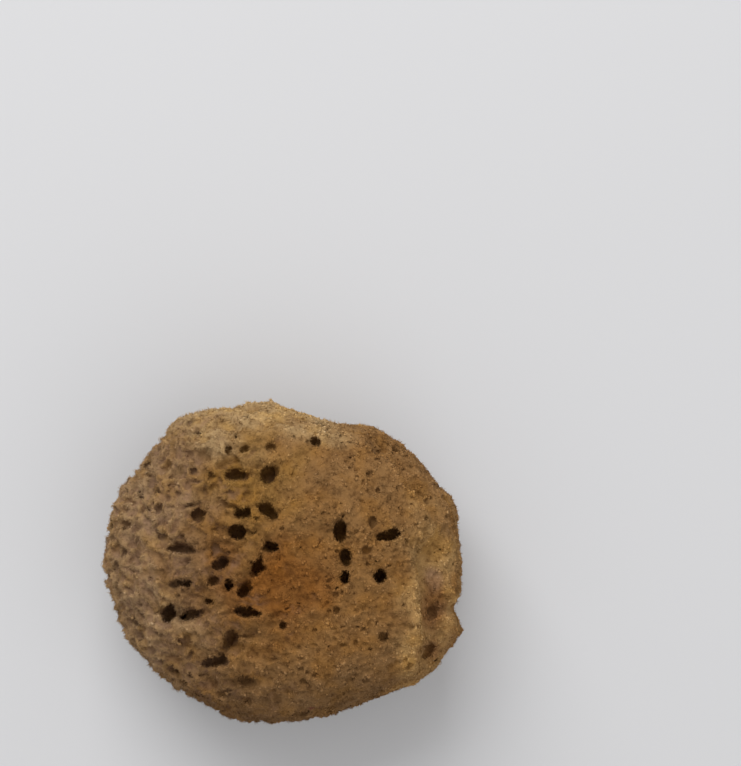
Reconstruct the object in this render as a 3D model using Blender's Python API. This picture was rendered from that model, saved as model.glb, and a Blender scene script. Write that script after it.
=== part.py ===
"""A dried sea sponge, unbleached, of the honeycomb kind.

It is one piece: a rounded, slightly boxy cushion that lies on the flat face where it was cut
from the rock, with the pores that the growing sponge drew its water through sunk into it.
Sizes are written in millimetres and the model is in metres. +X is the sponge's long way, +Y its
far side as a person looks down on it, and +Z is up, away from the cut face.
"""

import math
import random

import bmesh
import bpy
from mathutils import Matrix, Vector, noise
from mathutils.bvhtree import BVHTree

MM = 0.001

# Heights of the body
WAIST_HEIGHT = 25.0
CROWN_HEIGHT = 60.0
ROOT_DEPTH = 31.0

# Rim of the waist seen from above, as points x, y, anticlockwise from +X
RIM = (
    (47.5, 0.0), (47.5, -7.8), (45.4, -13.0), (48.8, -17.0), (45.6, -22.6), (37.0, -31.6),
    (30.0, -34.4), (20.3, -38.1), (9.5, -41.4), (-1.4, -42.8), (-12.2, -41.8), (-20.8, -38.1),
    (-29.7, -32.0), (-37.0, -26.4), (-42.6, -19.0), (-46.2, -10.5), (-48.3, -0.3), (-47.5, 7.0),
    (-45.4, 15.7), (-41.8, 21.8), (-36.5, 27.7), (-31.3, 34.6), (-26.4, 39.4), (-18.9, 40.6),
    (-10.8, 41.4), (-5.2, 42.8), (0.6, 40.6), (7.2, 38.2), (14.9, 36.0), (23.5, 36.2),
    (29.9, 32.6), (36.0, 27.4), (39.9, 23.0), (42.2, 18.8), (46.4, 16.5), (46.6, 10.5),
)

# How boxy the upper half is, as a superellipse power, by the bearing it faces
SHOULDER_EAST = 3.3
SHOULDER_WEST = 2.25
ROOT_POWER = 2.3

# Share of the rim's lobes that has faded out at the crown
CROWN_ROUNDING = 0.55

# Gentle swells all over the body, which fade towards the waist
SWELL_SIZE = 15.0
SWELL_HEIGHT = 1.4
SWELL_AT_WAIST = 0.25

# Long folds: start x, y, end x, y, half width, height (negative is a groove)
FOLDS = (
    (34.8, -3.0, 34.8, -26.0, 2.4, 1.8),
    (40.2, 3.0, 40.4, -16.0, 3.0, -4.8),
    (43.0, -18.5, 38.0, -25.0, 2.4, -4.8),
    (43.6, 7.0, 46.5, -11.0, 1.8, 1.6),
    (45.0, -14.5, 36.7, -31.6, 1.8, 1.5),
    (26.0, 27.5, 40.0, 12.0, 2.2, 1.6),
    (32.0, 26.5, 41.0, 14.5, 2.0, -3.4),
    (25.5, 33.0, 31.5, 29.5, 2.0, -2.6),
    (-27.0, 32.0, 1.0, 34.5, 2.6, 2.0),
    (-24.0, 36.5, -6.0, 37.6, 1.8, -2.6),
    (-34.0, -12.5, -15.0, -9.0, 3.2, -1.4),
    (-21.0, -24.5, -8.0, -17.5, 4.0, -1.6),
)

# Shares of the climb from waist to crown between which the folds grow to their full height
FOLD_FADE = (0.1, 0.65)

# The folds' least height that the grid is made finer for
FOLD_NOTICED = 0.7

# The eye that the pores' places are given from: each place is where a line from the eye to
# that pore crosses the level of the waist
EYE = (23.0, 48.0, 775.0)

# Pores of the upper face: x, y, length, width, turn in degrees, depth
FACE_PORES = (
    (-15.4, 30.0, 2.8, 2.4, 90, 5.0), (-11.3, 30.2, 2.2, 1.8, 0, 3.5),
    (-4.0, 30.8, 3.2, 2.2, 20, 3.5), (-13.2, 23.2, 6.0, 3.2, 0, 6.0),
    (-4.3, 23.5, 5.8, 3.4, 65, 6.0), (-11.6, 13.5, 4.6, 3.4, 0, 6.0),
    (-4.6, 13.5, 6.8, 2.9, -40, 6.0), (-13.0, 7.8, 4.3, 3.9, 90, 8.0),
    (-3.6, 3.8, 5.0, 2.4, 0, 7.0), (-23.5, 12.7, 4.8, 2.9, -35, 5.0),
    (-38.3, 14.3, 2.8, 2.7, 0, 4.0), (-34.3, 14.3, 2.8, 2.5, 90, 4.0),
    (-28.9, 3.2, 9.0, 2.5, -4, 5.0), (-18.6, 3.4, 2.9, 2.6, 90, 5.0),
    (-17.3, -0.8, 4.8, 3.0, 15, 6.0), (-7.6, -1.6, 6.4, 3.2, 75, 6.5),
    (-19.4, -5.9, 4.4, 2.7, -30, 5.5), (-26.6, -5.9, 2.9, 2.2, 0, 6.0),
    (-30.4, -6.4, 2.5, 2.0, 0, 5.0), (-15.2, -7.0, 5.2, 2.5, 80, 6.0),
    (-10.6, -7.8, 4.0, 3.4, 60, 6.5), (-32.0, -14.0, 5.4, 3.7, 60, 8.0),
    (-25.4, -14.4, 6.6, 2.7, 20, 6.0), (-20.4, -10.9, 3.3, 2.5, 60, 5.0),
    (-10.0, -13.6, 7.6, 3.2, -10, 7.0), (-27.0, -22.1, 3.5, 2.5, -20, 5.0),
    (-14.3, -21.4, 6.8, 3.0, 80, 6.0), (-19.0, -27.6, 8.4, 2.9, 15, 6.0),
    (-25.6, -31.0, 3.2, 1.9, -10, 4.0), (-10.8, -32.9, 4.0, 2.8, 10, 4.5),
    (-22.1, 33.2, 4.5, 2.0, 5, 4.0), (-26.2, 28.8, 2.3, 2.1, 0, 3.5),
    (-25.0, 24.4, 2.7, 2.4, 0, 4.0), (-19.9, 24.0, 2.8, 2.2, 90, 4.5),
    (-19.2, 20.0, 2.3, 2.1, 90, 4.0), (-36.4, 21.8, 2.9, 2.1, -20, 4.0),
    (-26.2, 20.2, 2.2, 2.0, 0, 4.0), (-43.6, 9.8, 3.2, 2.4, 0, 3.5),
    (-34.0, 7.2, 2.8, 2.4, 0, 4.5), (15.1, 8.0, 6.4, 3.3, 85, 7.5),
    (16.2, 1.6, 3.7, 3.0, 90, 6.0), (16.6, -4.0, 3.3, 2.6, 90, 9.0),
    (25.8, -3.8, 3.8, 3.6, 0, 10.0), (29.2, 7.6, 5.4, 3.6, 10, 6.5),
    (23.6, 10.8, 3.3, 2.0, 90, 4.0), (22.1, 3.0, 2.8, 2.5, 0, 3.0),
    (14.0, -13.0, 2.1, 1.8, 90, 4.5), (27.0, -20.0, 2.8, 2.2, 0, 6.0),
    (32.6, -6.2, 2.0, 1.6, 30, 3.5), (8.4, 33.0, 4.0, 2.8, -50, 6.0),
    (16.4, 30.0, 2.4, 1.8, 0, 3.5), (22.7, 23.6, 2.2, 2.0, 0, 3.5),
    (32.8, 20.4, 2.3, 1.9, 30, 3.5), (40.2, -13.6, 5.4, 2.7, 85, 4.0),
    (39.0, -24.6, 5.6, 2.6, 60, 4.0), (-0.3, -17.8, 2.2, 2.0, 0, 4.0),
    (5.1, -32.7, 2.3, 2.0, 0, 4.0), (33.8, -28.6, 2.8, 2.1, 40, 4.0),
)

# Pores of the flanks, spread evenly over a band between two heights. The two shares are the
# plane's counterpart of the golden section, so that no pores line up
FLANK_PORES = 144
FLANK_LOW = 7.0
FLANK_HIGH = 44.0
BEARING_SHARE = 0.754878
HEIGHT_SHARE = 0.569840
FLANK_PORE_LENGTH = (2.3, 5.6)
FLANK_PORE_WIDTH = (2.0, 3.6)
FLANK_PORE_DEPTH = 5.5
PORE_SPACING = 1.12
SEED = 11

# Canals that the cut face lays open, set out as sunflower seeds are
CUT_CANALS = 11
CUT_CANAL_REACH = 23.0
CUT_CANAL_RADIUS = (1.2, 2.4)
CUT_CANAL_DEPTH = 5.0

GOLDEN_ANGLE = math.radians(137.508)

# Fineness of the meshes
BODY_CUTS = 14
PORE_SIDES = 6
PORE_RINGS = 4

SPONGIN_COLOUR = (0.190, 0.092, 0.034, 1.0)


def fresh_collection(name):
    """An empty collection of this name, linked to the scene."""
    collection = bpy.data.collections.new(name)
    bpy.context.scene.collection.children.link(collection)
    return collection


def spongin_material():
    """The dull brown of dried, unbleached sponge."""
    material = bpy.data.materials.new("spongin")
    material.use_nodes = True
    shader = material.node_tree.nodes["Principled BSDF"]
    shader.inputs["Base Color"].default_value = SPONGIN_COLOUR
    shader.inputs["Roughness"].default_value = 0.95
    shader.inputs["Metallic"].default_value = 0.0
    return material


def rim_curve():
    """The rim as bearings and radii in rising order of bearing."""
    polar = sorted((math.atan2(y, x), math.hypot(x, y)) for x, y in RIM)
    return [p[0] for p in polar], [p[1] for p in polar]


RIM_BEARINGS, RIM_RADII = rim_curve()
MEAN_RADIUS = sum(RIM_RADII) / len(RIM_RADII)


def rim_radius(bearing):
    """Radius of the waist at a bearing, on a smooth closed curve through the rim's points."""
    count = len(RIM_BEARINGS)
    after = next((i for i in range(count) if RIM_BEARINGS[i] > bearing), count)

    def knot(index):
        turns, place = divmod(index, count)
        return RIM_BEARINGS[place] + turns * math.tau, RIM_RADII[place]

    (b0, r0), (b1, r1), (b2, r2), (b3, r3) = (knot(after + step) for step in (-2, -1, 0, 1))
    t = (bearing - b1) / (b2 - b1)
    slope_1 = (r2 - r0) / (b2 - b0) * (b2 - b1)
    slope_2 = (r3 - r1) / (b3 - b1) * (b2 - b1)
    return (
        (2 * t**3 - 3 * t**2 + 1) * r1
        + (t**3 - 2 * t**2 + t) * slope_1
        + (3 * t**2 - 2 * t**3) * r2
        + (t**3 - t**2) * slope_2
    )


def shoulder_power(bearing):
    """How boxy the upper half is towards a bearing."""
    east = 0.5 + 0.5 * math.cos(bearing - math.radians(20))
    return SHOULDER_WEST + (SHOULDER_EAST - SHOULDER_WEST) * east


def eased(value, low, high):
    """A smooth step from 0 to 1 as the value goes from low to high."""
    share = min(max((value - low) / (high - low), 0.0), 1.0)
    return share * share * (3 - 2 * share)


def fold_height(x, y):
    """Height that the long folds add at a place on the upper half."""
    total = 0.0
    for x0, y0, x1, y1, half_width, height in FOLDS:
        run = Vector((x1 - x0, y1 - y0))
        along = (Vector((x - x0, y - y0)).dot(run)) / run.length_squared
        nearest = Vector((x0, y0)) + run * min(max(along, 0.0), 1.0)
        gap = (Vector((x, y)) - nearest).length / half_width
        total += height * math.exp(-gap * gap)
    return total


def body_point(direction):
    """The point of the body's skin that lies towards a unit direction from the waist's middle."""
    bearing = math.atan2(direction.y, direction.x)
    rise = math.asin(max(-1.0, min(1.0, direction.z)))
    upper = rise >= 0
    power = shoulder_power(bearing) if upper else ROOT_POWER
    out = max(math.cos(rise), 0.0) ** (2 / power)
    climb = abs(math.sin(rise)) ** (2 / power)
    lobes = 1 - CROWN_ROUNDING * climb
    radius = (MEAN_RADIUS + (rim_radius(bearing) - MEAN_RADIUS) * lobes) * out
    reach = CROWN_HEIGHT - WAIST_HEIGHT if upper else -ROOT_DEPTH
    point = Vector((radius * math.cos(bearing), radius * math.sin(bearing), WAIST_HEIGHT + reach * climb))
    swell = SWELL_HEIGHT * noise.noise(point / SWELL_SIZE) * (SWELL_AT_WAIST + climb)
    if upper:
        swell += fold_height(point.x, point.y) * eased(climb, *FOLD_FADE)
    return point + direction * swell


def outward(spot):
    """Direction from the waist's middle of a spot on the cube that the body is spread from."""
    # The tangent spreads a cube's grid evenly over the ball
    return Vector(math.tan(c * math.pi / 4) for c in spot).normalized()


def on_fold(spot):
    """Whether a spot on the cube comes to lie on one of the long folds."""
    direction = outward(spot)
    point = body_point(direction)
    return direction.z > 0 and abs(fold_height(point.x, point.y)) > FOLD_NOTICED


def make_body(collection):
    """The closed cushion, cut off flat at the ground and not yet pored."""
    mesh = bpy.data.meshes.new("sponge")
    shape = bmesh.new()
    bmesh.ops.create_cube(shape, size=2.0)
    bmesh.ops.subdivide_edges(shape, edges=shape.edges[:], cuts=BODY_CUTS, use_grid_fill=True)
    folded = [edge for edge in shape.edges if any(on_fold(vert.co) for vert in edge.verts)]
    bmesh.ops.subdivide_edges(shape, edges=folded, cuts=1, use_grid_fill=True)
    for vert in shape.verts:
        vert.co = body_point(outward(vert.co))
    cut = bmesh.ops.bisect_plane(
        shape, geom=shape.verts[:] + shape.edges[:] + shape.faces[:],
        plane_co=(0, 0, 0), plane_no=(0, 0, 1), clear_inner=True,
    )
    rim_edges = [e for e in cut["geom_cut"] if isinstance(e, bmesh.types.BMEdge)]
    bmesh.ops.contextual_create(shape, geom=rim_edges)
    centre_on_origin(shape)
    bmesh.ops.recalc_face_normals(shape, faces=shape.faces[:])
    bmesh.ops.triangulate(shape, faces=shape.faces[:])
    shape.to_mesh(mesh)
    shape.free()
    body = bpy.data.objects.new("sponge", mesh)
    collection.objects.link(body)
    return body


def centre_on_origin(shape):
    """Slides the shape so that its box stands centred over the origin, and makes it metres."""
    xs = [v.co.x for v in shape.verts]
    ys = [v.co.y for v in shape.verts]
    middle = Vector(((min(xs) + max(xs)) / 2, (min(ys) + max(ys)) / 2, 0))
    bmesh.ops.translate(shape, verts=shape.verts[:], vec=-middle)
    bmesh.ops.scale(shape, verts=shape.verts[:], vec=(MM, MM, MM))


def add_pore(cutters, mouth, outward, along, length, width, depth):
    """Adds one cutter: an egg that is sunk into the skin, with its widest ring at the mouth."""
    inward = -outward
    across = inward.cross(along).normalized()
    along = across.cross(inward).normalized()
    frame = Matrix((along, across, inward)).transposed().to_4x4()
    size = Matrix.Diagonal((length / 2 * MM, width / 2 * MM, depth * MM, 1))
    bmesh.ops.create_uvsphere(
        cutters, u_segments=PORE_SIDES, v_segments=PORE_RINGS, radius=1.0,
        matrix=Matrix.Translation(mouth) @ frame @ size,
    )


def place_face_pores(cutters, skin, taken):
    """Sinks the pores of the upper face where the eye sees them."""
    eye = Vector(EYE) * MM
    for x, y, length, width, turn, depth in FACE_PORES:
        target = Vector((x, y, WAIST_HEIGHT)) * MM
        mouth, normal, _, _ = skin.ray_cast(eye, (target - eye).normalized())
        outward = (normal + Vector((0, 0, 1))).normalized()
        along = Vector((math.cos(math.radians(turn)), math.sin(math.radians(turn)), 0))
        add_pore(cutters, mouth, outward, along, length, width, depth)
        taken.append((mouth, length / 2 * MM))


def place_flank_pores(cutters, skin, taken):
    """Sinks the pores of the flanks, skipping any place that another pore already holds."""
    chance = random.Random(SEED)
    for index in range(FLANK_PORES):
        height = FLANK_LOW + (FLANK_HIGH - FLANK_LOW) * (index * HEIGHT_SHARE % 1)
        bearing = math.tau * (index * BEARING_SHARE % 1)
        length = chance.uniform(*FLANK_PORE_LENGTH)
        width = chance.uniform(*FLANK_PORE_WIDTH)
        turn = chance.uniform(0, math.pi)
        away = Vector((math.cos(bearing), math.sin(bearing), 0))
        start = away * 100 * MM + Vector((0, 0, height * MM))
        mouth, normal, _, _ = skin.ray_cast(start, -away)
        half = length / 2 * MM
        if any((mouth - other).length < PORE_SPACING * (half + size) for other, size in taken):
            continue
        sideways = normal.cross(Vector((0, 0, 1))).normalized()
        along = Matrix.Rotation(turn, 3, normal) @ sideways
        add_pore(cutters, mouth, normal, along, length, width, FLANK_PORE_DEPTH)
        taken.append((mouth, half))


def place_cut_canals(cutters):
    """Opens canals in the cut face, leaving its middle whole."""
    chance = random.Random(SEED)
    for index in range(CUT_CANALS):
        reach = CUT_CANAL_REACH * math.sqrt((index + 2) / (CUT_CANALS + 1)) * MM
        bearing = index * GOLDEN_ANGLE
        mouth = Vector((reach * math.cos(bearing), reach * math.sin(bearing), 0))
        width = 2 * chance.uniform(*CUT_CANAL_RADIUS)
        length = width * chance.uniform(1.0, 1.5)
        add_pore(cutters, mouth, Vector((0, 0, -1)), Vector((1, 0.3, 0)), length, width, CUT_CANAL_DEPTH)


def sink_pores(body, collection):
    """Cuts every pore out of the body with one hidden cutter."""
    skin = BVHTree.FromObject(body, bpy.context.evaluated_depsgraph_get())
    cutters = bmesh.new()
    taken = []
    place_face_pores(cutters, skin, taken)
    place_flank_pores(cutters, skin, taken)
    place_cut_canals(cutters)
    bmesh.ops.recalc_face_normals(cutters, faces=cutters.faces[:])
    mesh = bpy.data.meshes.new("pore_cutters")
    cutters.to_mesh(mesh)
    cutters.free()
    cutter = bpy.data.objects.new("pore_cutters", mesh)
    collection.objects.link(cutter)
    cutter.hide_render = True
    cutter.display_type = "WIRE"
    cut = body.modifiers.new("pores", "BOOLEAN")
    cut.operation = "DIFFERENCE"
    cut.solver = "EXACT"
    cut.use_self = True
    cut.object = cutter


def main():
    """Builds the sponge."""
    for old in list(bpy.data.objects):
        bpy.data.objects.remove(old)
    parts = fresh_collection("sea_sponge")
    cutters = fresh_collection("cutters")
    body = make_body(parts)
    body.data.materials.append(spongin_material())
    body.data.shade_smooth()
    sink_pores(body, cutters)


main()
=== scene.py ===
"""The dried sea sponge as it looks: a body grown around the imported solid, and its felt of fibres.

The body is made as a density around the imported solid, with lumps, peaks and pores added to it, and
is meshed where the density is half. Fibres are then set on it by the thousand. Sizes in the
dataclasses are millimetres, except the studio's, which are metres as the meshes' are.
"""

import logging
import math
from dataclasses import dataclass
from enum import Enum
from typing import Union

import bmesh
import bpy
import numpy as np
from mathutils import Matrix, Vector


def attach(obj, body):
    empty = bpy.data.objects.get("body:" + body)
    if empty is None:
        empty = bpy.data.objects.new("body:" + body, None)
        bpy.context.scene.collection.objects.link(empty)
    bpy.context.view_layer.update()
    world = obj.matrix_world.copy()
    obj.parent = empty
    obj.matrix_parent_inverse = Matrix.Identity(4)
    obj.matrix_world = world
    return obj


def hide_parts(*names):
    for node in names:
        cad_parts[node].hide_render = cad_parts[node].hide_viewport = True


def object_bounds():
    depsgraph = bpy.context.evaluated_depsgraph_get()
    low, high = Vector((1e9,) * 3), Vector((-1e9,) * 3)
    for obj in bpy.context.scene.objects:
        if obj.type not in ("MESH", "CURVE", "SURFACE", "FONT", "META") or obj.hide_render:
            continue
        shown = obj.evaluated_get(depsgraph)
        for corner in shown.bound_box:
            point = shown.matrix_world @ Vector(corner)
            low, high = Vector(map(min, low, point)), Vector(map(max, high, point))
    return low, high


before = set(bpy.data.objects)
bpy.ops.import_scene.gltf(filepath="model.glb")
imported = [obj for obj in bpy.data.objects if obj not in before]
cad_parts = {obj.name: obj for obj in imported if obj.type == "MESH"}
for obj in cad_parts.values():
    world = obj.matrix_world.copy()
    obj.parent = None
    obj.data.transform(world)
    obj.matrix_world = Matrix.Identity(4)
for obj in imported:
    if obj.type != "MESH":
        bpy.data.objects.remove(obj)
CAD_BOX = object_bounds()

MM = 0.001
NODE = "sponge"
BODY = "root"
WEIGHT_LEVELS = 10
HALF = (0.5, 0.5, 0.5)

log = logging.getLogger("sea_sponge")

Value = Union["Wire", float, tuple]
Pair = tuple[float, float]
Triple = tuple[float, float, float]


# Node trees


def plug(tree: bpy.types.NodeTree, inlet: bpy.types.NodeSocket, value: Value) -> None:
    """Feeds an inlet from a wire, or sets it to a plain value.

    Args:
        tree: The tree that holds the inlet.
        inlet: The input socket.
        value: A wire, a number or a tuple.
    """
    if isinstance(value, Wire):
        tree.links.new(value.socket, inlet)
    else:
        inlet.default_value = value


def add_node(
    tree: bpy.types.NodeTree, kind: str, inputs: dict | None = None, **settings: object,
) -> bpy.types.Node:
    """Adds a node.

    Args:
        tree: The tree to add it to.
        kind: The node's type name.
        inputs: What its named or numbered inputs are fed with.
        settings: The node's own properties.

    Returns:
        The new node.
    """
    node = tree.nodes.new(kind)
    for name, value in settings.items():
        setattr(node, name, value)
    for name, value in (inputs or {}).items():
        plug(tree, node.inputs[name], value)
    return node


@dataclass(frozen=True)
class Wire:
    """One output in a node tree, with the arithmetic of numbers and of vectors."""

    tree: bpy.types.NodeTree
    socket: bpy.types.NodeSocket

    def worked(self, kind: str, outlet: str, operation: str, others: tuple) -> "Wire":
        """What a calculating node puts out at one outlet, fed with this wire and then others."""
        node = add_node(self.tree, kind, dict(enumerate((self, *others))), operation=operation)
        return Wire(self.tree, node.outputs[outlet])

    def maths(self, operation: str, *others: Value) -> "Wire":
        """A number worked out from this one and others."""
        return self.worked("ShaderNodeMath", "Value", operation, others)

    def vector(self, operation: str, *others: Value) -> "Wire":
        """A vector worked out from this one and others."""
        return self.worked("ShaderNodeVectorMath", "Vector", operation, others)

    def number(self, operation: str, *others: Value) -> "Wire":
        """A number worked out from this vector and others."""
        return self.worked("ShaderNodeVectorMath", "Value", operation, others)

    def __add__(self, other: Value) -> "Wire":
        """The sum of this number and another."""
        return self.maths("ADD", other)

    def __sub__(self, other: Value) -> "Wire":
        """This number less another."""
        return self.maths("SUBTRACT", other)

    def __mul__(self, other: Value) -> "Wire":
        """The product of this number and another."""
        return self.maths("MULTIPLY", other)

    def __truediv__(self, other: Value) -> "Wire":
        """This number divided by another."""
        return self.maths("DIVIDE", other)

    def below(self, other: Value, soften: float) -> "Wire":
        """The lower of the two, with the corner between them rounded off."""
        return self.maths("SMOOTH_MIN", other, soften)

    def above(self, other: Value) -> "Wire":
        """The higher of the two."""
        return self.maths("MAXIMUM", other)

    def eased(self, start: float, end: float, most: float = 1.0) -> "Wire":
        """This number as a smooth step.

        Args:
            start: The level at which the step is still at 0.
            end: The level from which it is at its most.
            most: How high it goes.

        Returns:
            A number from 0 to the most.
        """
        inputs = {"Value": self, 1: start, 2: end, 3: 0.0, 4: most}
        node = add_node(self.tree, "ShaderNodeMapRange", inputs, interpolation_type="SMOOTHSTEP")
        return Wire(self.tree, node.outputs["Result"])

    def axis(self, index: int) -> "Wire":
        """One coordinate of this vector."""
        node = add_node(self.tree, "ShaderNodeSeparateXYZ", {0: self})
        return Wire(self.tree, node.outputs[index])

    def scaled(self, factor: float) -> "Wire":
        """This vector, longer or shorter."""
        return self.vector("MULTIPLY", (factor, factor, factor))


@dataclass(frozen=True)
class Ramp:
    """A share that rises from 0 to its most as a number goes from its start to its end."""

    start: float
    end: float
    most: float = 1.0

    def of(self, number: Wire) -> Wire:
        """The share at each value of the number."""
        return number.eased(self.start, self.end, self.most)


@dataclass(frozen=True)
class Noise:
    """Noise with lumps of one size, which goes about as far below nothing as above it."""

    size: float
    detail: float = 1.0
    roughness: float = 0.5
    reach: float = 1.0

    def at(self, place: Wire) -> Wire:
        """The noise at each place.

        Args:
            place: Where it is looked for.

        Returns:
            A number between about minus the reach and the reach.
        """
        node = add_node(place.tree, "ShaderNodeTexNoise", {
            "Vector": place, "Scale": 1 / self.size, "Detail": self.detail, "Roughness": self.roughness,
        })
        return (Wire(place.tree, node.outputs[0]) * 2.0 - 1.0) * self.reach


@dataclass(frozen=True)
class Drift:
    """A push this way and that, so that what is drawn at the pushed places is uneven."""

    size: float
    reach: float

    def of(self, place: Wire) -> Wire:
        """Pushes places about.

        Args:
            place: The places.

        Returns:
            The places up to about the reach from where they were.
        """
        inputs = {"Vector": place, "Scale": 1 / self.size, "Detail": 0.0}
        node = add_node(place.tree, "ShaderNodeTexNoise", inputs)
        shift = Wire(place.tree, node.outputs["Color"]).vector("SUBTRACT", HALF).scaled(2 * self.reach)
        return place.vector("ADD", shift)


def seeds(place: Wire, size: float) -> tuple[Wire, Wire]:
    """Points strewn about a cell's size apart.

    Args:
        place: Where they are looked for.
        size: The size of a cell in millimetres.

    Returns:
        The distance to the nearest point in millimetres, and a number of that point's own.
    """
    node = add_node(place.tree, "ShaderNodeTexVoronoi", {"Vector": place, "Scale": 1 / size})
    own = Wire(place.tree, node.outputs["Color"]).axis(0)
    return Wire(place.tree, node.outputs["Distance"]) * size, own


# Objects and meshes as arrays


def linked(name: str, content: bpy.types.ID) -> bpy.types.Object:
    """Puts a new object in the scene.

    Args:
        name: The object's name.
        content: Its mesh, light or camera.

    Returns:
        The object.
    """
    made = bpy.data.objects.new(name, content)
    bpy.context.scene.collection.objects.link(made)
    return made


def evaluated(source: bpy.types.Object) -> bpy.types.Mesh:
    """A new mesh, as the object's modifiers make it."""
    view = bpy.context.evaluated_depsgraph_get()
    return bpy.data.meshes.new_from_object(source.evaluated_get(view))


def triangles_of(mesh: bpy.types.Mesh) -> int:
    """How many triangles a mesh has."""
    return sum(len(polygon.vertices) - 2 for polygon in mesh.polygons)


def read(
    items: bpy.types.bpy_prop_collection, name: str, width: int, kind: type = np.float32,
) -> np.ndarray:
    """A property of every vertex, edge or triangle.

    Args:
        items: The vertices, edges or triangles.
        name: The property's name.
        width: How many numbers it has.
        kind: The type of those numbers in the mesh.

    Returns:
        An array with a row each.
    """
    values = np.empty(len(items) * width, kind)
    items.foreach_get(name, values)
    values = values.reshape(-1, width)
    return values if kind is np.int32 else values.astype(float)


def write(mesh: bpy.types.Mesh, name: str, values: np.ndarray) -> None:
    """Writes a number on every vertex under a name."""
    mesh.attributes.new(name, "FLOAT", "POINT").data.foreach_set("value", values.astype(np.float32))


def recall(mesh: bpy.types.Mesh, name: str) -> np.ndarray:
    """The numbers that are written on the vertices under a name."""
    return read(mesh.attributes[name].data, "value", 1).ravel()


def step(values: np.ndarray, low: float, high: float) -> np.ndarray:
    """A smooth step from 0 to 1 as the values go from low to high."""
    share = np.clip((values - low) / (high - low), 0.0, 1.0)
    return share * share * (3 - 2 * share)


def unit(vectors: np.ndarray) -> np.ndarray:
    """The vectors, each of length 1."""
    return vectors / np.linalg.norm(vectors, axis=-1, keepdims=True)


def smoothed(points: np.ndarray, edges: np.ndarray, rounds: int) -> np.ndarray:
    """Points drawn halfway to the middle of their neighbours, over and over.

    Args:
        points: The points.
        edges: The pairs of points that are neighbours.
        rounds: How many times.

    Returns:
        The points after that.
    """
    one, other = edges.T
    count = np.bincount(edges.ravel(), minlength=len(points))[:, None]
    for _ in range(rounds):
        total = np.stack([
            np.bincount(one, axis[other], len(points)) + np.bincount(other, axis[one], len(points))
            for axis in points.T
        ], axis=1)
        points = (points + total / count) / 2
    return points


def spread(mesh: bpy.types.Mesh, values: np.ndarray, rounds: int) -> np.ndarray:
    """Numbers on the points of a mesh, carried outward and nowhere lowered.

    Args:
        mesh: The mesh.
        values: A number for every point.
        rounds: How far they are carried, as rounds of smoothing.

    Returns:
        The numbers after that.
    """
    column = values[:, None]
    edges = read(mesh.edges, "vertices", 2, np.int32)
    return np.maximum(smoothed(column, edges, rounds), column).ravel()


def standing(mesh: bpy.types.Mesh, rounds: int) -> np.ndarray:
    """How far each point of a mesh stands out from its surroundings, in millimetres.

    Args:
        mesh: The mesh.
        rounds: How wide the surroundings are, as rounds of smoothing.

    Returns:
        The heights, below nothing in a hollow.
    """
    points = read(mesh.vertices, "co", 3) / MM
    edges = read(mesh.edges, "vertices", 2, np.int32)
    outward = unit(smoothed(read(mesh.vertices, "normal", 3), edges, rounds))
    return np.einsum("ij,ij->i", points - smoothed(points, edges, rounds), outward)


def joined(name: str, copies: np.ndarray, triangles: np.ndarray) -> bpy.types.Object:
    """Many copies of one small shape as one object.

    Args:
        name: The object's name.
        copies: The points of every copy, copy by copy.
        triangles: The triangles of one copy.

    Returns:
        The new object.
    """
    number, each = copies.shape[:2]
    corners = (triangles[None] + np.arange(number)[:, None, None] * each).reshape(-1, 3)
    mesh = bpy.data.meshes.new(name)
    mesh.vertices.add(number * each)
    mesh.vertices.foreach_set("co", copies.astype(np.float32).ravel())
    mesh.loops.add(corners.size)
    mesh.loops.foreach_set("vertex_index", corners.astype(np.int32).ravel())
    mesh.polygons.add(len(corners))
    mesh.polygons.foreach_set("loop_start", np.arange(0, corners.size, 3, dtype=np.int32))
    mesh.update(calc_edges=True)
    mesh.shade_smooth()
    return linked(name, mesh)


def taken(shape: bmesh.types.BMesh) -> tuple[np.ndarray, np.ndarray]:
    """Reads a shape and frees it.

    Args:
        shape: The shape.

    Returns:
        Its points and its triangles.
    """
    bmesh.ops.triangulate(shape, faces=shape.faces[:])
    shape.verts.index_update()
    points = np.array([v.co[:] for v in shape.verts])
    triangles = np.array([[v.index for v in f.verts] for f in shape.faces])
    shape.free()
    return points, triangles


# The body


@dataclass(frozen=True)
class Hollows:
    """Shallow hollows side by side, with ridges between them."""

    size: float
    ridge: float
    slope: float
    shallow: float
    deep: float

    def depth(self, place: Wire) -> Wire:
        """How far the hollows go down at each place, nothing on the ridges.

        Args:
            place: Where they are looked for.

        Returns:
            The depth in millimetres.
        """
        inputs = {"Vector": place, "Scale": 1 / self.size}
        node = add_node(place.tree, "ShaderNodeTexVoronoi", inputs, feature="DISTANCE_TO_EDGE")
        edge = Wire(place.tree, node.outputs["Distance"]) * self.size
        sunk = edge.eased(self.ridge, self.ridge + self.slope)
        own = seeds(place, self.size)[1]
        return sunk * (own * own * (self.deep - self.shallow) + self.shallow)


@dataclass(frozen=True)
class Peaks:
    """Small cones strewn over the skin, steeper in the west."""

    spacing: float
    reach: float
    least: float
    steepness: float
    west_steepness: float

    def height(self, skin: Wire, west: Wire) -> Wire:
        """How far the cones rise at each place.

        Args:
            skin: The nearest place on the plain form's skin.
            west: The share of the west there, from 0 to 1.

        Returns:
            The height in millimetres.
        """
        away, own = seeds(skin, self.spacing)
        cone = (away * -1.0 + self.reach).above(0.0)
        return cone * (own + self.least) * (west * self.west_steepness + self.steepness)


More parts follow.
